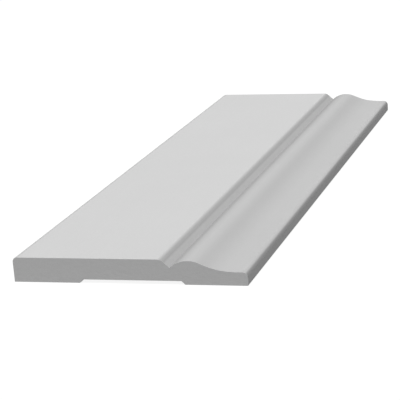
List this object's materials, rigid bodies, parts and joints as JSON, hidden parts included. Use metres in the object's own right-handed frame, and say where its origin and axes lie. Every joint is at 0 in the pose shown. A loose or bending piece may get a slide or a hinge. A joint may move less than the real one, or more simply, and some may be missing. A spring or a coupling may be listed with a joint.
{
  "type": "skirting board length",
  "caption": "Primed skirting board length with a flat face, a bead and ogee along its top edge, and a shallow relief planed along the back.",
  "frame": {"origin": "middle of the back at mid-length, level with the two feet that touch the wall", "axes": "+Z out of the moulded face, away from the wall; +X across the board, from the thick floor edge towards the moulded top edge; +Y along the length"},
  "size_m": [0.1334, 0.47, 0.014],
  "materials": {
    "primer": "factory primer, matt to low satin, pale grey-white"
  },
  "bodies": {
    "root": {"skirting_board": "primer"}
  },
  "joints": []
}
